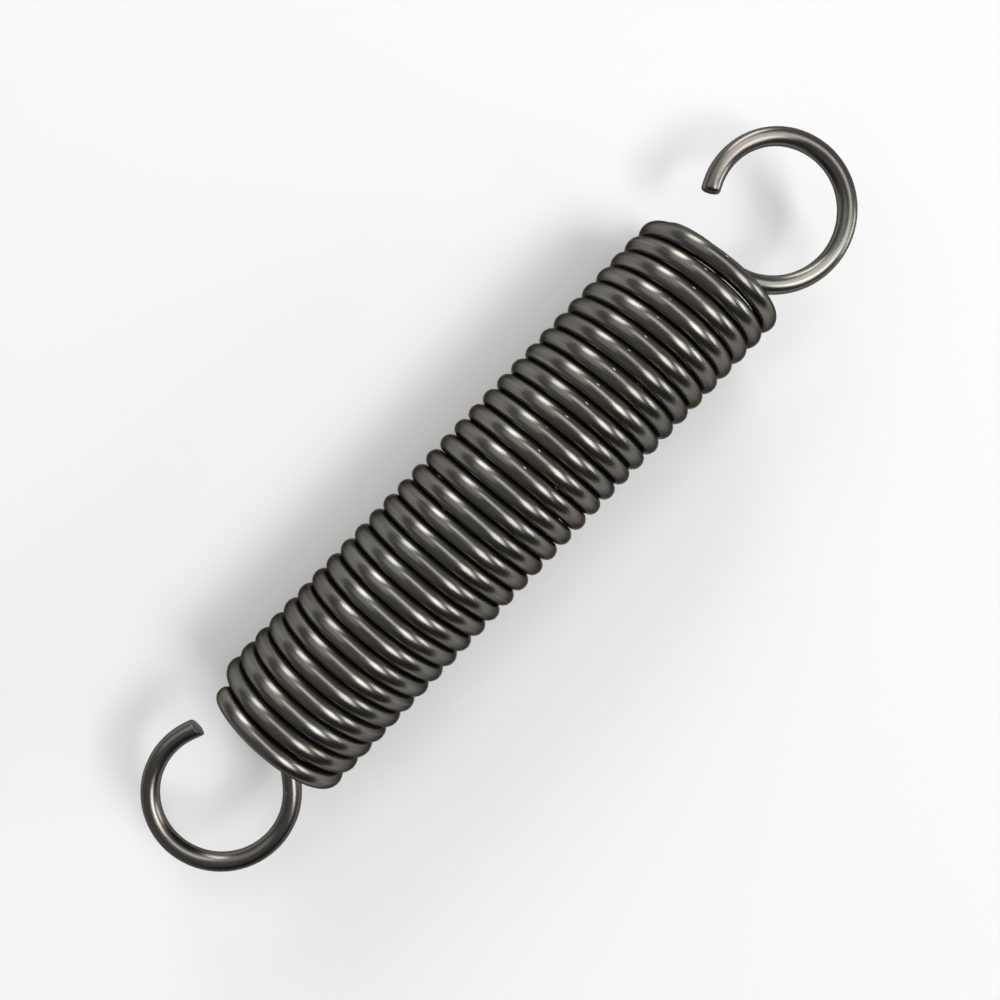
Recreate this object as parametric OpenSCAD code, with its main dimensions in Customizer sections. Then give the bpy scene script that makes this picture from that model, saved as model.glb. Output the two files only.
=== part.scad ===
// Extension spring with a crossover loop at each end.
// One round wire: it is sheared off at the left tip, runs round the left loop, crosses the end
// of the coil over its middle, turns up into the coil, and leaves the other end the same way.
// The coil lies along X and both loops lie flat, so the spring rests on the plane z = 0.
// Lengths are in millimetres and angles in degrees.

/* [Wire and coil] */
// Diameter of the wire
wire_d = 2; // [1:0.05:3]
// Length of the straight end that is left past the last bend at each tip
tip_straight = 0.6; // [0.5:0.05:3]
// Outside diameter of the coil
coil_od = 16.8; // [12:0.1:30]
// Turns in the coil
turns = 31; // [6:1:60]
// Daylight between one turn and the next
turn_gap = 0.14; // [0.06:0.01:0.5]

/* [Left loop, at -X] */
// Outside diameter of the loop
left_loop_od = 16.8; // [12:0.1:30]
// Outside diameter of the tighter stretch that ends in the tip
left_tip_od = 16.4; // [10:0.1:30]
// Where the tighter stretch begins, measured round the loop from the coil
left_tuck_angle = 132; // [100:1:170]
// Where the bend ends and the straight tip begins, measured round the loop from the coil
left_tip_angle = 68.5; // [35:0.5:90]
// Slant of the sheared end, away from a square cut
left_shear_angle = 17; // [0:1:30]
// Daylight that a full circle would leave between the loop's middle line and the coil's last turn
left_loop_gap = 1.2; // [0:0.05:4]
// Extra opening of the last turn, pulled out when the loop was bent
left_opening = 0.25; // [0:0.01:1]

/* [Right loop, at +X] */
// Outside diameter of the loop
right_loop_od = 17.2; // [12:0.1:30]
// Outside diameter of the tighter stretch that ends in the tip
right_tip_od = 15.7; // [10:0.1:30]
// Where the tighter stretch begins, measured round the loop from the coil
right_tuck_angle = 150; // [100:1:170]
// Where the bend ends and the straight tip begins, measured round the loop from the coil
right_tip_angle = 64; // [35:0.5:90]
// Radius that rounds the edge of the tip
right_tip_round = 0.35; // [0.1:0.05:0.5]
// Daylight that a full circle would leave between the loop's middle line and the coil's last turn
right_loop_gap = 0.6; // [0:0.05:4]
// Extra opening of the last turn, pulled out when the loop was bent
right_opening = 0.4; // [0:0.01:1]

/* [Crossover] */
// Sideways offset of both loops from the coil's axis, away from the tips
loop_offset = 0.3; // [0:0.05:2]
// Where the wire leaves the loop for the crossover, measured round the loop from the coil
root_angle = 314; // [295:1:330]
// How far past the last turn the wire crosses the coil's axis
cross_out = 0.5; // [0:0.05:3]
// Where the crossing wire has turned up into the coil, measured round the coil
merge_angle = 42; // [35:1:60]

/* [Hidden] */

steel = [0.30, 0.29, 0.28];

// How far a bend stops short of a joint, as a length and as an angle of the bend
joint = wire_d / 200;
function short(r) = joint / r * 180 / PI;

// Core that joins one bend to the next
core_d = 0.9 * wire_d;
core_h = wire_d / 4;

wire_r = wire_d / 2;
coil_r = coil_od / 2 - wire_r;
pitch = wire_d + turn_gap;
half_turns = 2 * turns;
coil_end = turns * pitch / 2;

left_r = left_loop_od / 2 - wire_r;
left_tip_r = left_tip_od / 2 - wire_r;
right_r = right_loop_od / 2 - wire_r;
right_tip_r = right_tip_od / 2 - wire_r;

// Rims are the places where the coil crosses its own widest level plane, one each half turn
function rim(k) = [pitch / 2 * k - coil_end, k % 2 == 0 ? coil_r : -coil_r, 0];
function rim_dir(k) = [0, 0, k % 2 == 0 ? 1 : -1];

function unit(v) = v / norm(v);
function polar(r, a) = [r * cos(a), r * sin(a), 0];
function heading(a) = [sin(a), -cos(a), 0];

// A circular bend is fixed by its start, the wire's direction there, and its end.
// This is the direction at its end.
function end_dir(p, dir, q) = let (c = unit(q - p)) 2 * (dir * c) * c - dir;

// Two bends that lead smoothly from one point and direction to another meet here.
function meeting(p, p_dir, q, q_dir) =
    let (
        v = q - p,
        s = p_dir + q_dir,
        reach = (sqrt((v * s) * (v * s) + v * v * (4 - s * s)) - v * s) / (4 - s * s)
    )
    (p + reach * p_dir + q - reach * q_dir) / 2;

// One bend, or two, from station a to station b. A station is a point and a direction.
function run(a, b) = [[a[0], a[1], b[0]]];
function ease(a, b) =
    let (m = meeting(a[0], a[1], b[0], b[1]))
    [[a[0], a[1], m], [m, end_dir(a[0], a[1], m), b[0]]];

// Bends of the end at -X, from the coil's third rim to the tip
function end_bends(r, tip_r, tuck, tip, gap, opening) =
    let (
        last = rim(1) - [opening, 0, 0],
        past = rim(0) + [turn_gap, 0, 0],
        out = unit(past - last),
        middle = [-coil_end - gap - r, -loop_offset, 0],
        tip_middle = middle + polar(r - tip_r, tuck),
        at_third = [rim(3), -rim_dir(3)],
        at_second = [rim(2), -rim_dir(2)],
        at_rim = [last, -rim_dir(1)],
        at_merge = [
            (past + last) / 2 + norm(past - last) / 2 * (cos(merge_angle) * out + [0, 0, sin(merge_angle)]),
            sin(merge_angle) * out - [0, 0, cos(merge_angle)]
        ],
        at_axis = [[-coil_end - cross_out, 0, 0], heading(0)],
        at_root = [middle + polar(r, root_angle), heading(root_angle)],
        at_tuck = [middle + polar(r, tuck), heading(tuck)],
        at_tip = [tip_middle + polar(tip_r, tip), heading(tip)]
    )
    concat(
        run(at_third, at_second),
        run(at_second, at_rim),
        run(at_rim, at_merge),
        ease(at_merge, at_axis),
        ease(at_axis, at_root),
        run(at_root, at_tuck),
        run(at_tuck, at_tip)
    );

// How a bend lies: its radius, its angle, and axes away from its middle, along the wire and
// about which it turns
function lie(b) =
    let (
        chord = b[2] - b[0],
        swing = acos(max(-1, min(1, b[1] * unit(chord)))),
        turn_axis = unit(cross(b[1], chord))
    )
    [norm(chord) / (2 * sin(swing)), 2 * swing, cross(b[1], turn_axis), b[1], turn_axis];

// Angle by which the wire's plane of bending rolls about the wire, from bend a to bend b
function roll(a, b) =
    let (outward = cos(a[1]) * a[2] + sin(a[1]) * a[3])
    atan2(-b[2] * a[4], b[2] * outward);

left_bends = [for (b = end_bends(
    left_r, left_tip_r, left_tuck_angle, left_tip_angle, left_loop_gap, left_opening
)) lie(b)];
right_bends = [for (b = end_bends(
    right_r, right_tip_r, right_tuck_angle, right_tip_angle, right_loop_gap, right_opening
)) lie(b)];

// The box round the spring, from which its resting place is worked out
function far_x(r, gap) = coil_end + gap + 2 * r + wire_r;
function loop_top(r, tip_r, tuck) = (r - tip_r) * sin(tuck) + tip_r + wire_r - loop_offset;
low_x = -far_x(left_r, left_loop_gap);
high_x = far_x(right_r, right_loop_gap);
low_y = -max(coil_od / 2, loop_offset + max(left_loop_od, right_loop_od) / 2);
high_y = max(
    coil_od / 2,
    loop_top(left_r, left_tip_r, left_tuck_angle),
    loop_top(right_r, right_tip_r, right_tuck_angle)
);
low_z = -norm([coil_r, pitch / 4 + left_opening / 2]) - wire_r;

// Puts its children at p with the given axes
module placed(x, y, z, p) {
    multmatrix([
        [x[0], y[0], z[0], p[0]],
        [x[1], y[1], z[1], p[1]],
        [x[2], y[2], z[2], p[2]],
        [0, 0, 0, 1]
    ])
        children();
}

// Wire bent by a given angle about Z, from the X axis on
module arc(r, angle) {
    rotate_extrude(angle = angle, $fn = 96)
        translate([r, 0])
            circle(d = wire_d, $fn = 32);
}

// Draws bends i and on, each from the end of the one before, and puts its children at the tip.
// Every one starts at the origin and runs along Y, with its middle at -X. Two round ends that
// meet at a rounded-off angle don't join cleanly, so bends stop a hair short of each other and a
// slightly thinner core runs from one into the next.
module chain(bends, i) {
    rotate([90, 0, 0])
        cylinder(d = core_d, h = core_h, center = true, $fn = 32);
    if (i < len(bends)) {
        r = bends[i][0];
        angle = bends[i][1];
        rotate([0, roll(bends[i - 1], bends[i]), 0])
            translate([-r, 0, 0]) {
                rotate([0, 0, short(r)])
                    arc(r, angle - 2 * short(r));
                rotate([0, 0, angle])
                    translate([r, 0, 0])
                        chain(bends, i + 1)
                            children();
            }
    } else {
        translate([0, joint, 0])
            children();
    }
}

// Half a turn from one rim to its neighbour, which stops short if its children go on from there
module half_turn(from, to) {
    span = rim(from) - rim(to);
    r = norm(span) / 2;
    x = unit(span);
    y = (to - from) * rim_dir(from);
    placed(x, y, cross(x, y), (rim(from) + rim(to)) / 2) {
        arc(r, $children > 0 ? 180 - short(r) : 180);
        rotate([0, 0, 180])
            translate([r, 0, 0])
                children();
    }
}

// The end at -X from the coil's third rim on, with its children at the tip
module hook(bends) {
    half_turn(3, 2)
        chain(bends, 1)
            children();
}

// The rest of the coil, between the half turns that carry the hooks
module coil() {
    for (k = [3:half_turns - 4])
        half_turn(k, k + 1);
}

// Straight end of the wire that was sheared off, longer on the inside of the loop
module sheared_tip() {
    slant = wire_r * tan(left_shear_angle);
    rotate([-90, 0, 0])
        difference() {
            cylinder(d = wire_d, h = tip_straight + 2 * slant, $fn = 32);
            translate([0, 0, tip_straight + slant])
                rotate([0, left_shear_angle, 0])
                    translate([-2 * wire_d, -wire_d, 0])
                        cube([4 * wire_d, 2 * wire_d, 2 * wire_d]);
        }
}

// Straight end of the wire with its edge rounded
module rounded_tip() {
    flat_r = wire_r - right_tip_round;
    rotate([-90, 0, 0])
        rotate_extrude($fn = 64) {
            square([wire_r, tip_straight]);
            square([flat_r, tip_straight + right_tip_round]);
            translate([flat_r, tip_straight])
                intersection() {
                    circle(r = right_tip_round, $fn = 32);
                    square(right_tip_round);
                }
        }
}

module spring() {
    color(steel)
        translate([-(low_x + high_x) / 2, -(low_y + high_y) / 2, -low_z]) {
            hook(left_bends)
                sheared_tip();
            coil();
            rotate([0, 180, 0])
                hook(right_bends)
                    rounded_tip();
        }
}

spring();
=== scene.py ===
"""Makes an extension spring of drawn steel wire, with a floor, lamps and a camera round it.

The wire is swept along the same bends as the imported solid: half turns for the coil, and at each
end a crossover that leads over the middle of the coil into a flat open loop. Lengths are in
metres and angles in radians unless a name says otherwise.
"""

import math

import bpy
import numpy as np
from mathutils import Euler, Matrix, Quaternion, Vector


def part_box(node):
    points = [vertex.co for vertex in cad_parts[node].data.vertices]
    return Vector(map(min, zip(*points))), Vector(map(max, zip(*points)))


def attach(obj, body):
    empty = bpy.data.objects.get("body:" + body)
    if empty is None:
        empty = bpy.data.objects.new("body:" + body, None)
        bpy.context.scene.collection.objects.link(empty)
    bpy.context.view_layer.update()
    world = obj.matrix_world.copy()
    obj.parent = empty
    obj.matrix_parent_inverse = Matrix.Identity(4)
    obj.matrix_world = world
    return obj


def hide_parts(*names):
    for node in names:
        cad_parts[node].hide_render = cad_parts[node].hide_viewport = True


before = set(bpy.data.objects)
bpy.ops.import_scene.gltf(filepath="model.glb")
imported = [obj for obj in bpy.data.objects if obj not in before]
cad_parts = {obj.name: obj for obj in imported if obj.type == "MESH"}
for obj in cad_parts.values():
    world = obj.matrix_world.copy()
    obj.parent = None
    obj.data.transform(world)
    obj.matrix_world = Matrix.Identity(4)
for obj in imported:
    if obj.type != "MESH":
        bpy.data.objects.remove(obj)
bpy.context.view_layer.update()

bl_info = {
    "name": "Extension spring",
    "version": (1, 0, 0),
    "blender": (4, 5, 0),
    "location": "View3D > Sidebar > Spring",
    "description": "Makes a drawn steel extension spring and a studio stage for it",
    "category": "Add Mesh",
}

MM = 0.001

# Rings of a tip's rounded edge, and where the rings of its face lie, as shares of its radius
EDGE_STEPS = 6
FACE_RINGS = (0.85, 0.65, 0.4, 0.18)
# Turns at each end of the coil that don't swell, and turns over which the swell grows to full
FREE_TURNS = 0.85
SWELL_TURNS = 0.5
# Material slots of the wire
SKIN, CUT = 0, 1
# How far the painted glints, pale spots painted on the wire in place of highlights, scatter along
# the wire and over it, and where along the coil they begin
GLINT_SCATTER = (1.2 * MM, 0.35 * MM)
GLINTS_FROM = 3.0 * MM
# Where the middle of the nick is round the wire, and how far from it the nick starts and ends
# to fade
NICK_SIDE = (-0.56 * MM, 0.83 * MM)
NICK_FADE = (0.12 * MM, 0.22 * MM)
# Half the width of the floor, in metres, and the way to the studio's unlit side
FLOOR_HALF = 1.5
UNLIT_SIDE = (-0.35, -0.90, 0.25)
# Each lamp's name, how far it stands off the vertical towards X and towards Y, how wide it looks
# from the spring along X and across it, its share of the full strength, and how it is rolled.
# Angles are in degrees.
LAMPS = [
    ("window", (50, 52), (34, 18), 1.0, 22),
    ("window_glow", (2, 44), (54, 40), 0.1, 0),
    ("main_softbox", (13, -30), (32, 23), 1.0, 30),
    ("low_softbox", (50, -54), (21, 16), 1.0, 0),
    ("ceiling_strip", (27, 10), (20, 42), 0.42, -12),
]


# Sizes and colours that a user would change


def length(name, description, millimetres, low=0.0, high=1000.0):
    """A length that is given in millimetres here and kept in metres."""
    return bpy.props.FloatProperty(
        name=name,
        description=description,
        default=millimetres * MM,
        min=low * MM,
        max=high * MM,
        precision=5,
        unit="LENGTH",
    )


def turn(name, description, degrees):
    return bpy.props.FloatProperty(
        name=name,
        description=description,
        default=math.radians(degrees),
        unit="ROTATION",
    )


def tint(name, description, colour):
    return bpy.props.FloatVectorProperty(
        name=name,
        description=description,
        default=colour,
        size=3,
        min=0.0,
        max=1.0,
        subtype="COLOR",
    )


def amount(name, description, default, low=0.0, high=1.0):
    return bpy.props.FloatProperty(
        name=name, description=description, default=default, min=low, max=high
    )


class SPRING_PG_coil(bpy.types.PropertyGroup):
    wire_diameter: length("Wire", "Diameter of the wire", 2.0)
    outside_diameter: length("Coil", "Outside diameter of the coil", 16.8)
    turns: bpy.props.IntProperty(name="Turns", description="Turns in the coil", default=31, min=6)
    turn_gap: length("Gap", "Daylight between one turn and the next", 0.14)
    loop_offset: length("Loop offset", "Offset of both loops from the coil's axis", 0.3)
    root_angle: turn("Root", "Where the crossover leaves the loop", 314)
    cross_out: length("Crossing", "How far past the last turn the wire crosses the axis", 0.5)
    tip_straight: length("Straight tip", "Length of the straight end past the last bend", 0.6)
    swell: length("Swell", "How far a turn bulges towards its neighbour where they press", 0.055)
    ring_sides: bpy.props.IntProperty(
        name="Sides", description="Sides of the wire's rings", default=28, min=8
    )
    ring_step: length("Step", "Longest distance between two rings of the wire", 0.62)


class SPRING_PG_left_loop(bpy.types.PropertyGroup):
    loop_diameter: length("Loop", "Outside diameter of the loop", 16.8)
    tip_diameter: length("Tip stretch", "Outside diameter of the tighter stretch to the tip", 16.4)
    tuck_angle: turn("Tuck", "Where the tighter stretch begins", 132)
    tip_angle: turn("Tip", "Where the bend ends and the straight tip begins", 68.5)
    gap: length("Loop gap", "Daylight between a full circle and the coil's last turn", 1.2)
    opening: length("Opening", "Extra opening of the last turn", 0.17)
    merge_angle: turn("Merge", "Where the crossing wire has turned into the coil", 36)
    shear_angle: turn("Shear", "Slant of the sheared end, away from a square cut", 17)
    edge_round: length("Edge", "Radius of the worn edge round the sheared face", 0.09)
    crown: length("Crown", "Height of the sheared face's middle above its edge", 0.07)


class SPRING_PG_right_loop(bpy.types.PropertyGroup):
    loop_diameter: length("Loop", "Outside diameter of the loop", 17.2)
    tip_diameter: length("Tip stretch", "Outside diameter of the tighter stretch to the tip", 15.7)
    tuck_angle: turn("Tuck", "Where the tighter stretch begins", 150)
    tip_angle: turn("Tip", "Where the bend ends and the straight tip begins", 64)
    gap: length("Loop gap", "Daylight between a full circle and the coil's last turn", 0.6)
    opening: length("Opening", "Extra opening of the last turn", 0.07)
    merge_angle: turn("Merge", "Where the crossing wire has turned into the coil", 44)
    shear_angle: turn("Shear", "Slant of the end, away from a square cut", 0)
    edge_round: length("Edge", "Radius of the tip's rounded edge", 0.35)
    crown: length("Crown", "Height of the end face's middle above its edge", 0.02)


class SPRING_PG_steel(bpy.types.PropertyGroup):
    steel: tint("Steel", "Colour of the drawn wire", (0.163, 0.161, 0.144))
    bloom: tint("Bloom", "Colour of the warmer, oil-toned patches", (0.168, 0.152, 0.137))
    cut: tint("Cut face", "Colour of the bare steel where the wire was cut", (0.26, 0.25, 0.24))
    roughness: amount("Roughness", "Roughness of the drawn wire", 0.25)
    grain_width: length("Grain width", "Width of the die lines along the wire", 0.09)
    grain_length: length("Grain length", "Length of the die lines along the wire", 7.0)
    grain_depth: length("Grain depth", "Depth of the die lines", 0.004)
    # Colour of the painted glints, pale spots painted in place of highlights; the same colour also
    # shows the nick, which is bare steel
    mark: tint("Rub mark", "Colour of the small rub marks", (0.42, 0.42, 0.4))
    nick_along: length("Nick place", "How far along the wire from its first bend the nick is", 31.6)
    nick_strength: amount("Nick strength", "How bare the nick is", 0.3)
    # Size and place of the painted glints on each turn
    glint_length: length("Rub mark length", "Length of a rub mark along the wire", 0.34)
    glint_round: length("Rub mark place", "How far round the coil the marks are", -1.4, -30)
    glint_over: length("Rub mark side", "How far over the wire towards +X the marks are", 0.62, -3)


class SPRING_PG_stage(bpy.types.PropertyGroup):
    floor_colour: tint("Floor", "Colour of the floor", (0.88, 0.88, 0.88))
    sky_colour: tint("Surroundings", "Colour of the studio round the spring", (0.24, 0.24, 0.24))
    unlit_colour: tint("Unlit side", "Colour of the studio's unlit side", (0.04, 0.04, 0.04))
    lamp_distance: length("Lamp distance", "How far off the lamps stand", 1500, 100, 5000)
    lamp_strength: amount(
        "Lamp strength", "How bright the lamps look, where 1 is white", 6.95, 0.0, 50.0
    )
    camera_place: bpy.props.FloatVectorProperty(
        name="Camera",
        description="Where the camera stands",
        default=(0.000768, 0.013813, 0.117702),
        size=3,
        unit="LENGTH",
    )
    camera_turn: bpy.props.FloatVectorProperty(
        name="Camera turn",
        description="How the camera is turned",
        default=(math.radians(-2.7413), math.radians(-1.1654), math.radians(-46.5496)),
        size=3,
        unit="ROTATION",
    )
    camera_lens: bpy.props.FloatProperty(
        name="Lens",
        description="Focal length on a 36 mm wide sensor, in millimetres",
        default=38.126,
    )
    camera_shift: bpy.props.FloatVectorProperty(
        name="Lens shift",
        description="How far the picture is off the lens's axis, as shares of its width",
        default=(0.0744, -0.0437),
        size=2,
    )


# The wire's bends


def unit(vector):
    return vector / np.linalg.norm(vector)


def end_direction(start, direction, end):
    chord = unit(end - start)
    return 2 * (direction @ chord) * chord - direction


def meeting_point(p, p_dir, q, q_dir):
    """Where two bends that lead smoothly from p to q meet."""
    span = q - p
    both = p_dir + q_dir
    spare = 4 - both @ both
    reach = (math.sqrt((span @ both) ** 2 + span @ span * spare) - span @ both) / spare
    return (p + reach * p_dir + q - reach * q_dir) / 2


def polar(radius, angle):
    return np.array([radius * math.cos(angle), radius * math.sin(angle), 0.0])


def clockwise(angle):
    return np.array([math.sin(angle), -math.cos(angle), 0.0])


def pitch_of(coil):
    """The distance from one turn of the coil to the next."""
    return coil.wire_diameter + coil.turn_gap


def rim(coil, k):
    """The k-th place where the coil crosses its own widest level plane."""
    radius = (coil.outside_diameter - coil.wire_diameter) / 2
    return np.array([(k - coil.turns) * pitch_of(coil) / 2, radius if k % 2 == 0 else -radius, 0.0])


def rim_direction(k):
    return np.array([0.0, 0.0, 1.0 if k % 2 == 0 else -1.0])


def hook_bends(coil, loop):
    """Bends of the end at -X, from the coil to the tip: each a start, its direction and an end."""
    end_x = rim(coil, 0)[0]
    radius = (loop.loop_diameter - coil.wire_diameter) / 2
    tip_radius = (loop.tip_diameter - coil.wire_diameter) / 2
    last = rim(coil, 1) - np.array([loop.opening, 0, 0])
    past = rim(coil, 0) + np.array([coil.turn_gap, 0, 0])
    out = unit(past - last)
    middle = np.array([end_x - loop.gap - radius, -coil.loop_offset, 0.0])
    tip_middle = middle + polar(radius - tip_radius, loop.tuck_angle)
    sine, cosine = math.sin(loop.merge_angle), math.cos(loop.merge_angle)
    up = np.array([0.0, 0.0, 1.0])
    merge = (past + last) / 2 + np.linalg.norm(past - last) / 2 * (cosine * out + sine * up)
    stations = [
        (rim(coil, 2), -rim_direction(2)),
        (last, -rim_direction(1)),
        (merge, sine * out - cosine * up),
        (np.array([end_x - coil.cross_out, 0.0, 0.0]), clockwise(0)),
        (middle + polar(radius, coil.root_angle), clockwise(coil.root_angle)),
        (middle + polar(radius, loop.tuck_angle), clockwise(loop.tuck_angle)),
        (tip_middle + polar(tip_radius, loop.tip_angle), clockwise(loop.tip_angle)),
    ]
    bends = []
    for i, ((p, p_dir), (q, q_dir)) in enumerate(zip(stations, stations[1:])):
        if i in (2, 3):
            m = meeting_point(p, p_dir, q, q_dir)
            bends += [(p, p_dir, m), (m, end_direction(p, p_dir, m), q)]
        else:
            bends.append((p, p_dir, q))
    return bends


def wire_bends(coil, left, right):
    """All the wire's bends, from the left tip to the right one."""
    flip = np.array([-1.0, 1.0, -1.0])
    start = [(q, -end_direction(p, d, q), p) for p, d, q in reversed(hook_bends(coil, left))]
    middle = [
        (rim(coil, k), rim_direction(k), rim(coil, k + 1)) for k in range(2, 2 * coil.turns - 2)
    ]
    finish = [(p * flip, d * flip, q * flip) for p, d, q in hook_bends(coil, right)]
    return start + middle + finish


def turned(vectors, axis, angle):
    """Vectors turned about a unit axis."""
    along = np.outer(vectors @ axis, axis)
    return (
        vectors * math.cos(angle)
        + np.cross(axis, vectors) * math.sin(angle)
        + along * (1 - math.cos(angle))
    )


class WireLine:
    """Stations along the wire: where it is, its direction, two axes across it and its length."""

    def __init__(self, bends, step):
        self.points, self.frames, self.lengths = [], [], []
        start, direction, end = bends[0]
        axis = unit(np.cross(direction, end - start))
        # Rows of a frame: along the wire, away from the first bend's middle, and across both
        rows = np.array([direction, np.cross(direction, axis), axis])
        reached = 0.0
        self.add(start, rows, reached)
        for start, direction, end in bends:
            chord = end - start
            swing = math.acos(max(-1.0, min(1.0, direction @ unit(chord))))
            axis = unit(np.cross(direction, chord))
            radius = np.linalg.norm(chord) / (2 * math.sin(swing))
            outward = np.cross(direction, axis)
            middle = start - radius * outward
            count = max(1, math.ceil(2 * swing * radius / step))
            base = rows.copy()
            base[0] = direction
            for i in range(1, count + 1):
                angle = 2 * swing * i / count
                spoke = turned(outward[None], axis, angle)[0]
                rows = turned(base, axis, angle)
                self.add(middle + radius * spoke, rows, reached + radius * angle)
            reached += 2 * swing * radius
            self.outward = spoke
        self.total = reached

    def add(self, point, rows, at):
        self.points.append(point)
        self.frames.append(rows)
        self.lengths.append(at)


def ring_angles(sides):
    return np.arange(sides) * 2 * math.pi / sides


def across_directions(rows, sides):
    """Directions from a ring's middle to each of its points, one a row."""
    angles = ring_angles(sides)
    return np.cos(angles)[:, None] * rows[1] + np.sin(angles)[:, None] * rows[2]


def tip_rings(loop, radius, straight, outward, across):
    """Rings past the wire's last bend, and how far its face's middle is from the bend's end.

    Each ring has how far along the wire each of its points is, and its radius. across holds the
    directions of a ring's points, one a row.
    """
    slope = math.tan(loop.shear_angle)
    lean = -slope * (across @ outward)
    rings = []
    base = straight + radius * slope
    flat = radius - loop.edge_round
    for i in range(EDGE_STEPS + 1):
        turn_angle = math.pi / 2 * i / EDGE_STEPS
        size = flat + loop.edge_round * math.cos(turn_angle)
        rise = loop.edge_round * (math.sin(turn_angle) - 1)
        if slope == 0:
            rise += loop.edge_round
        rings.append((base + rise + lean * size, size))
    rise = 0.0 if slope else loop.edge_round
    for share in FACE_RINGS:
        size = flat * share
        rings.append((base + rise + lean * size + loop.crown * (1 - share**2), size))
    return rings, base + rise + loop.crown


class WireMesh:
    """Collects rings of the wire's skin and makes a mesh of them."""

    def __init__(self, sides):
        self.sides = sides
        self.points, self.straight, self.on_coil, self.rings = [], [], [], 0
        self.faces, self.slots = [], []

    def ring(self, middle, rows, radius, at, along=None, bulge=0.0):
        """Adds a ring; along moves its points along the wire, and bulge widens it along X."""
        angles = ring_angles(self.sides)
        across = across_directions(rows, self.sides)
        forward = np.zeros(self.sides) if along is None else along
        skin = middle + radius * across + forward[:, None] * rows[0]
        skin[:, 0] += bulge * across[:, 0]
        self.points.append(skin)
        self.straight.append(
            np.stack([radius * np.cos(angles), radius * np.sin(angles), at + forward], axis=1)
        )
        # How far round the coil from its top, how far over towards +X, and how far along the coil
        reach = math.hypot(middle[1], middle[2])
        radial = np.array([0.0, middle[1], middle[2]]) / max(reach, 1e-9)
        over = radius * np.arctan2(across[:, 0], across @ radial)
        round_it = reach * math.atan2(-middle[1], middle[2])
        self.on_coil.append(
            np.stack([np.full(self.sides, round_it), over, np.full(self.sides, middle[0])], axis=1)
        )
        self.rings += 1

    def bridge(self, low, high, slot):
        n = self.sides
        for j in range(n):
            k = (j + 1) % n
            self.faces.append((low * n + j, low * n + k, high * n + k, high * n + j))
            self.slots.append(slot)


def skin_of_wire(coil, left, right):
    """Points, straightened points, places on the coil, faces and material slots of the wire."""
    bends = wire_bends(coil, left, right)
    line = WireLine(bends, coil.ring_step)
    radius, sides = coil.wire_diameter / 2, coil.ring_sides
    skin = WireMesh(sides)

    # The left tip, from its face back to the first bend
    start, direction, end = bends[0]
    outward = np.cross(direction, unit(np.cross(direction, end - start)))
    rows = line.frames[0]
    across = across_directions(rows, sides)
    tip, left_top = tip_rings(left, radius, coil.tip_straight, outward, across)
    for along, size in reversed(tip):
        skin.ring(line.points[0], rows, size, 0.0, -along)
    left_middle = line.points[0] - left_top * rows[0]

    # The bends: turns press on each other all along the coil but not at its ends
    pitch = pitch_of(coil)
    for point, rows, at in zip(line.points, line.frames, line.lengths):
        inside = (coil.turns / 2 - FREE_TURNS) * pitch - abs(point[0])
        share = max(0.0, min(1.0, inside / (SWELL_TURNS * pitch)))
        skin.ring(point, rows, radius, at, bulge=coil.swell * share)

    # The right tip, from the last bend to its face
    across = across_directions(rows, sides)
    tip, right_top = tip_rings(right, radius, coil.tip_straight, line.outward, across)
    for along, size in tip:
        skin.ring(line.points[-1], rows, size, line.total, along)
    right_middle = line.points[-1] + right_top * rows[0]

    # Only the sheared face is bare: the rounded tip is as dark as the rest of the wire
    for i in range(skin.rings - 1):
        skin.bridge(i, i + 1, CUT if i < len(FACE_RINGS) else SKIN)

    points = np.concatenate(skin.points + [[left_middle, right_middle]])
    straight = np.concatenate(skin.straight + [[[0, 0, -left_top], [0, 0, line.total + right_top]]])
    # The middles of the faces have no place on the coil
    on_coil = np.concatenate(skin.on_coil + [np.ones((2, 3))])
    last = (skin.rings - 1) * sides
    for j in range(sides):
        k = (j + 1) % sides
        skin.faces.append((len(points) - 2, k, j))
        skin.faces.append((len(points) - 1, last + j, last + k))
        skin.slots += [CUT, SKIN]
    return points, straight, on_coil, skin.faces, skin.slots


# Shader nodes


class Nodes:
    """Short words for making and joining the nodes of one tree."""

    def __init__(self, tree):
        self.tree = tree

    def make(self, kind, values=None, **settings):
        node = self.tree.nodes.new(kind)
        for name, value in settings.items():
            setattr(node, name, value)
        for name, value in (values or {}).items():
            self.feed(node.inputs[name], value)
        return node

    def feed(self, socket, value):
        if isinstance(value, bpy.types.NodeSocket):
            self.tree.links.new(value, socket)
        else:
            socket.default_value = value

    def maths(self, operation, *values):
        node = self.tree.nodes.new("ShaderNodeMath")
        node.operation = operation
        for socket, value in zip(node.inputs, values):
            self.feed(socket, value)
        return node.outputs[0]

    def vector_maths(self, operation, *values):
        node = self.tree.nodes.new("ShaderNodeVectorMath")
        node.operation = operation
        for socket, value in zip(node.inputs, values):
            self.feed(socket, value)
        return node.outputs[0]

    def noise(self, vector, scale, detail=2.0, roughness=0.5):
        values = {"Vector": vector, "Scale": scale, "Detail": detail, "Roughness": roughness}
        return self.make("ShaderNodeTexNoise", values).outputs["Fac"]

    def between(self, value, low, high, to_low=0.0, to_high=1.0):
        node = self.make("ShaderNodeMapRange", {"Value": value, "From Min": low, "From Max": high})
        self.feed(node.inputs["To Min"], to_low)
        self.feed(node.inputs["To Max"], to_high)
        return node.outputs["Result"]

    def mix(self, factor, first, second):
        node = self.tree.nodes.new("ShaderNodeMix")
        node.data_type = "RGBA"
        for number, value in ((0, factor), (6, first), (7, second)):
            self.feed(node.inputs[number], value)
        return node.outputs[2]


def opaque(colour):
    return (*colour, 1.0)


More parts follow.
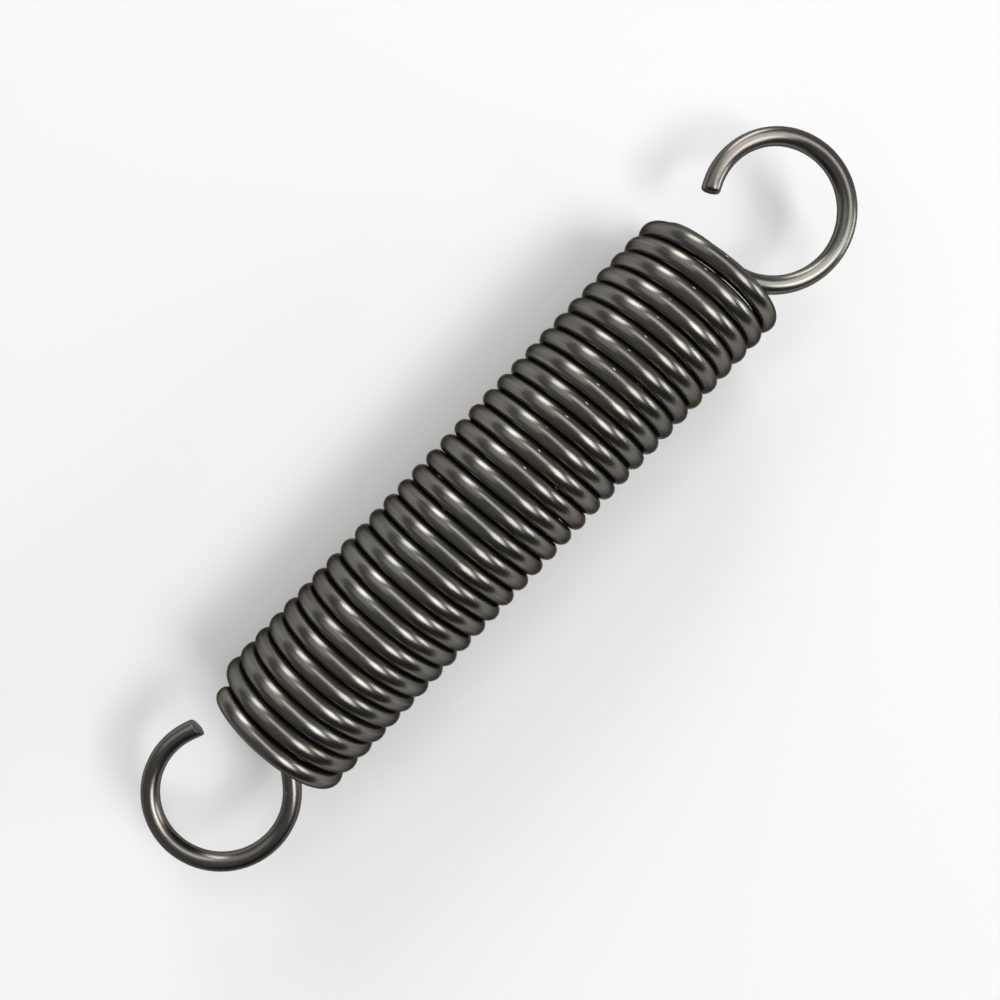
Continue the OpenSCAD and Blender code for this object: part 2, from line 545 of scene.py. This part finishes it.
def new_group(name, inputs, outputs):
    tree = bpy.data.node_groups.new(name, "ShaderNodeTree")
    for label, kind, default in inputs:
        socket = tree.interface.new_socket(name=label, in_out="INPUT", socket_type=kind)
        if default is not None:
            socket.default_value = default
    for label, kind in outputs:
        tree.interface.new_socket(name=label, in_out="OUTPUT", socket_type=kind)
    nodes = Nodes(tree)
    source = tree.nodes.new("NodeGroupInput").outputs
    sink = tree.nodes.new("NodeGroupOutput").inputs
    return nodes, source, sink


def die_lines_group():
    """Fine lines along the straightened wire, and slower changes of tone along it."""
    name = "Die lines"
    if name in bpy.data.node_groups:
        return bpy.data.node_groups[name]
    nodes, source, sink = new_group(
        name,
        [
            ("Straight wire", "NodeSocketVector", None),
            ("Width", "NodeSocketFloat", 0.09),
            ("Length", "NodeSocketFloat", 7.0),
        ],
        [("Lines", "NodeSocketFloat"), ("Tone", "NodeSocketFloat")],
    )
    across = nodes.maths("DIVIDE", 1.0 / MM, source["Width"])
    along = nodes.maths("DIVIDE", 1.0 / MM, source["Length"])
    scale = nodes.make("ShaderNodeCombineXYZ", {"X": across, "Y": across, "Z": along}).outputs[0]
    stretched = nodes.vector_maths("MULTIPLY", source["Straight wire"], scale)
    nodes.feed(sink["Lines"], nodes.noise(stretched, 1.0, 3.0, 0.6))
    wide = nodes.vector_maths("MULTIPLY", stretched, (0.22, 0.22, 0.35))
    nodes.feed(sink["Tone"], nodes.noise(wide, 1.0, 2.0, 0.5))
    return nodes.tree


def painted_glints(nodes, finish, pitch):
    """Mask of the painted glints: small bright spots painted in place of highlights, one on the
    upper side of each turn of the right half.
    """
    place = nodes.make("ShaderNodeAttribute", attribute_name="on_coil").outputs["Vector"]
    split = nodes.make("ShaderNodeSeparateXYZ", {0: place}).outputs
    number = nodes.maths("DIVIDE", split["Z"], pitch)
    number = nodes.maths("FLOOR", nodes.maths("ADD", number, 0.5))
    chance = nodes.make("ShaderNodeTexWhiteNoise", {"W": number}, noise_dimensions="1D").outputs
    shift = nodes.vector_maths("SUBTRACT", chance["Color"], (0.5, 0.5, 0.5))
    jitter = nodes.make("ShaderNodeSeparateXYZ", {0: shift}).outputs
    squares = []
    for axis, middle, scatter, half in (
        ("X", finish.glint_round, GLINT_SCATTER[0], finish.glint_length / 2),
        ("Y", finish.glint_over, GLINT_SCATTER[1], finish.glint_length / 5),
    ):
        off = nodes.maths("SUBTRACT", split[axis], middle)
        off = nodes.maths("SUBTRACT", off, nodes.maths("MULTIPLY", jitter[axis], scatter))
        off = nodes.maths("DIVIDE", off, half)
        squares.append(nodes.maths("MULTIPLY", off, off))
    mark = nodes.between(nodes.maths("ADD", *squares), 0.5, 1.3, 1.0, 0.0)
    right = nodes.maths("GREATER_THAN", split["Z"], GLINTS_FROM)
    strength = nodes.between(chance["Value"], 0.0, 0.6, 0.35, 1.0)
    return nodes.maths("MULTIPLY", mark, nodes.maths("MULTIPLY", strength, right))


def new_material(name):
    material = bpy.data.materials.new(name)
    material.use_nodes = True
    material.node_tree.nodes.clear()
    return material, Nodes(material.node_tree)


def finish_surface(nodes, values):
    """Adds the shader with the given values, and what it leads to."""
    shader = nodes.make("ShaderNodeBsdfPrincipled", values)
    out = nodes.make("ShaderNodeOutputMaterial")
    nodes.feed(out.inputs["Surface"], shader.outputs[0])


def drawn_steel(finish, pitch):
    """The wire's skin: dark drawn steel with die lines, warm patches, painted glints and a nick."""
    material, nodes = new_material("drawn_steel")
    straight = nodes.make("ShaderNodeAttribute", attribute_name="straight_wire").outputs["Vector"]
    place = nodes.make("ShaderNodeTexCoord").outputs["Object"]
    grain = nodes.make("ShaderNodeGroup", node_tree=die_lines_group())
    nodes.feed(grain.inputs["Straight wire"], straight)
    grain.inputs["Width"].default_value = finish.grain_width / MM
    grain.inputs["Length"].default_value = finish.grain_length / MM
    lines, tone = grain.outputs["Lines"], grain.outputs["Tone"]

    patches = nodes.between(nodes.noise(place, 160.0, 3.0, 0.6), 0.42, 0.62)
    colour = nodes.mix(patches, opaque(finish.steel), opaque(finish.bloom))
    shade = nodes.between(tone, 0.3, 0.7, 0.78, 1.18)
    fine = nodes.between(lines, 0.3, 0.7, 0.9, 1.1)
    value = nodes.maths("MULTIPLY", shade, fine)
    shaded = nodes.vector_maths("SCALE", colour)
    nodes.feed(shaded.node.inputs["Scale"], value)

    nick_place = (*NICK_SIDE, finish.nick_along)
    off = nodes.vector_maths("DISTANCE", straight, nick_place).node.outputs["Value"]
    nick = nodes.between(off, *NICK_FADE, finish.nick_strength, 0.0)
    # Painted glints and the nick share one pale colour. Where it shows, the surface turns from
    # metal into a pale diffuse spot, and for the glints this is a painted highlight
    marks = nodes.maths("MAXIMUM", painted_glints(nodes, finish, pitch), nick)
    with_glints_and_nick = nodes.mix(marks, shaded, opaque(finish.mark))
    spread = nodes.between(lines, 0.3, 0.7, finish.roughness - 0.05, finish.roughness + 0.07)
    bump = nodes.make(
        "ShaderNodeBump", {"Height": lines, "Distance": finish.grain_depth, "Strength": 1.0}
    )
    tangent = nodes.make("ShaderNodeTangent", direction_type="UV_MAP", uv_map="WireUV")
    finish_surface(
        nodes,
        {
            "Base Color": with_glints_and_nick,
            "Metallic": nodes.maths("SUBTRACT", 1.0, marks),
            "Roughness": spread,
            "Normal": bump.outputs["Normal"],
            "Anisotropic": 0.35,
            "Anisotropic Rotation": 0.25,
            "Tangent": tangent.outputs[0],
            "Specular Tint": (0.24, 0.24, 0.24, 1.0),
        },
    )
    return material


def cut_steel(finish):
    """Bare steel where the wire was cut off, with coarse marks across the face."""
    material, nodes = new_material("cut_steel")
    straight = nodes.make("ShaderNodeAttribute", attribute_name="straight_wire").outputs["Vector"]
    stretched = nodes.vector_maths("MULTIPLY", straight, (14000.0, 2500.0, 2500.0))
    marks = nodes.noise(stretched, 1.0, 3.0, 0.6)
    grit = nodes.noise(straight, 9000.0, 2.0, 0.6)
    dark = tuple(0.55 * c for c in finish.cut)
    colour = nodes.mix(nodes.between(marks, 0.35, 0.65), opaque(dark), opaque(finish.cut))
    height = nodes.maths("ADD", marks, nodes.maths("MULTIPLY", grit, 0.5))
    bump = nodes.make("ShaderNodeBump", {"Height": height, "Distance": 0.02 * MM, "Strength": 1.0})
    finish_surface(
        nodes,
        {
            "Base Color": colour,
            "Metallic": 1.0,
            "Roughness": nodes.between(marks, 0.3, 0.7, 0.38, 0.55),
            "Normal": bump.outputs["Normal"],
        },
    )
    return material


def floor_material(colour):
    material = bpy.data.materials.new("pale_floor")
    material.use_nodes = True
    shader = material.node_tree.nodes["Principled BSDF"]
    shader.inputs["Base Color"].default_value = opaque(colour)
    shader.inputs["Roughness"].default_value = 0.9
    return material


def studio_world(colour, unlit):
    """An even grey studio whose side at -Y is unlit low down."""
    world = bpy.data.worlds.new("studio")
    world.use_nodes = True
    nodes = Nodes(world.node_tree)
    way = nodes.make("ShaderNodeTexCoord").outputs["Generated"]
    towards = nodes.make(
        "ShaderNodeVectorMath", {0: way, 1: UNLIT_SIDE}, operation="DOT_PRODUCT"
    )
    low = nodes.between(towards.outputs["Value"], 0.5, 0.82)
    background = world.node_tree.nodes["Background"]
    nodes.feed(background.inputs["Color"], nodes.mix(low, opaque(colour), opaque(unlit)))
    return world


# Operators


def show(thing):
    bpy.context.scene.collection.objects.link(thing)
    return thing


class SPRING_OT_wire(bpy.types.Operator):
    """Make the spring's wire, from its sheared tip round both loops to its rounded tip"""

    bl_idname = "spring.wire"
    bl_label = "Wire"

    def execute(self, context):
        scene = context.scene
        coil, left, right = scene.spring_coil, scene.spring_left_loop, scene.spring_right_loop
        points, straight, on_coil, faces, slots = skin_of_wire(coil, left, right)
        low, high = (np.array(corner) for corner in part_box("spring"))
        points += (low + high) / 2 - (points.min(axis=0) + points.max(axis=0)) / 2

        mesh = bpy.data.meshes.new("spring_wire")
        mesh.from_pydata(points.tolist(), [], faces)
        mesh.polygons.foreach_set("use_smooth", [True] * len(faces))
        mesh.polygons.foreach_set("material_index", slots)
        for name, values in (("straight_wire", straight), ("on_coil", on_coil)):
            kept = mesh.attributes.new(name, "FLOAT_VECTOR", "POINT")
            kept.data.foreach_set("vector", values.ravel())
        self.unwrap(mesh, straight)
        mesh.materials.append(drawn_steel(scene.spring_steel, pitch_of(coil)))
        mesh.materials.append(cut_steel(scene.spring_steel))
        mesh.update()

        wire = show(bpy.data.objects.new("spring_wire", mesh))
        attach(wire, "root")
        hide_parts("spring")
        return {"FINISHED"}

    def unwrap(self, mesh, straight):
        """Lays the skin out flat: U runs along the wire and V round it."""
        loops = np.zeros(len(mesh.loops), dtype=int)
        mesh.loops.foreach_get("vertex_index", loops)
        corners = straight[loops]
        around = np.arctan2(corners[:, 1], corners[:, 0]) / (2 * math.pi)
        sizes = np.zeros(len(mesh.polygons), dtype=int)
        mesh.polygons.foreach_get("loop_total", sizes)
        starts = np.concatenate([[0], np.cumsum(sizes)[:-1]])
        first = np.repeat(around[starts], sizes)
        around = around - np.round(around - first)
        layer = mesh.uv_layers.new(name="WireUV")
        flat = np.stack([corners[:, 2] * 100, around], axis=1)
        layer.data.foreach_set("uv", flat.ravel())


class SPRING_OT_stage(bpy.types.Operator):
    """Make the floor, the lamps and the camera"""

    bl_idname = "spring.stage"
    bl_label = "Stage"

    def execute(self, context):
        stage = context.scene.spring_stage
        self.lay_floor(stage)
        self.light(context.scene, stage)
        self.set_camera(context.scene, stage)
        return {"FINISHED"}

    def lay_floor(self, stage):
        mesh = bpy.data.meshes.new("floor")
        half = FLOOR_HALF
        corners = [(-half, -half, 0), (half, -half, 0), (half, half, 0), (-half, half, 0)]
        mesh.from_pydata(corners, [], [(0, 1, 2, 3)])
        mesh.materials.append(floor_material(stage.floor_colour))
        show(bpy.data.objects.new("floor", mesh))

    def softbox(self, distance, name, lean, spread, strength, roll):
        """Adds a flat lamp that faces the spring, placed as the comment over LAMPS says."""
        off = math.radians(math.hypot(*lean))
        bearing = math.atan2(lean[1], lean[0])
        away = Vector(
            (math.sin(off) * math.cos(bearing), math.sin(off) * math.sin(bearing), math.cos(off))
        )
        lamp = bpy.data.lights.new(name, "AREA")
        lamp.shape = "RECTANGLE"
        lamp.size, lamp.size_y = (
            2 * distance * math.tan(math.radians(angle / 2)) for angle in spread
        )
        lamp.energy = strength * math.pi * lamp.size * lamp.size_y
        thing = show(bpy.data.objects.new(name, lamp))
        thing.location = away * distance
        side = (Vector((1, 0, 0)) - away * away.x).normalized()
        side.rotate(Quaternion(away, math.radians(roll)))
        up = away.cross(side)
        thing.rotation_euler = Matrix((side, up, away)).transposed().to_euler()

    def light(self, scene, stage):
        scene.world = studio_world(stage.sky_colour, stage.unlit_colour)
        for name, lean, spread, share, roll in LAMPS:
            strength = share * stage.lamp_strength
            self.softbox(stage.lamp_distance, name, lean, spread, strength, roll)

    def set_camera(self, scene, stage):
        lens = bpy.data.cameras.new("camera")
        lens.sensor_width = 36.0
        lens.lens = stage.camera_lens
        lens.shift_x, lens.shift_y = stage.camera_shift
        lens.clip_start = 0.01
        camera = show(bpy.data.objects.new("camera", lens))
        camera.location = stage.camera_place
        camera.rotation_euler = Euler(stage.camera_turn, "XYZ")
        scene.camera = camera
        scene.view_settings.view_transform = "Standard"


class SPRING_PT_panel(bpy.types.Panel):
    """Lists the spring's sizes and finishes, and what makes it"""

    bl_label = "Extension spring"
    bl_idname = "SPRING_PT_panel"
    bl_space_type = "VIEW_3D"
    bl_region_type = "UI"
    bl_category = "Spring"

    def draw(self, context):
        for name, (_, operator) in SETTINGS.items():
            box = self.layout.box()
            settings = getattr(context.scene, name)
            for key in settings.__annotations__:
                box.prop(settings, key)
            if operator:
                box.operator(operator)


SETTINGS = {
    "spring_coil": (SPRING_PG_coil, ""),
    "spring_left_loop": (SPRING_PG_left_loop, ""),
    "spring_right_loop": (SPRING_PG_right_loop, ""),
    "spring_steel": (SPRING_PG_steel, "spring.wire"),
    "spring_stage": (SPRING_PG_stage, "spring.stage"),
}
CLASSES = [kind for kind, _ in SETTINGS.values()] + [
    SPRING_OT_wire,
    SPRING_OT_stage,
    SPRING_PT_panel,
]


def register():
    for kind in CLASSES:
        bpy.utils.register_class(kind)
    for name, (kind, _) in SETTINGS.items():
        setattr(bpy.types.Scene, name, bpy.props.PointerProperty(type=kind))


def unregister():
    for name in SETTINGS:
        delattr(bpy.types.Scene, name)
    for kind in reversed(CLASSES):
        bpy.utils.unregister_class(kind)


def main():
    register()
    bpy.ops.spring.wire()
    bpy.ops.spring.stage()


if __name__ == "__main__":
    main()
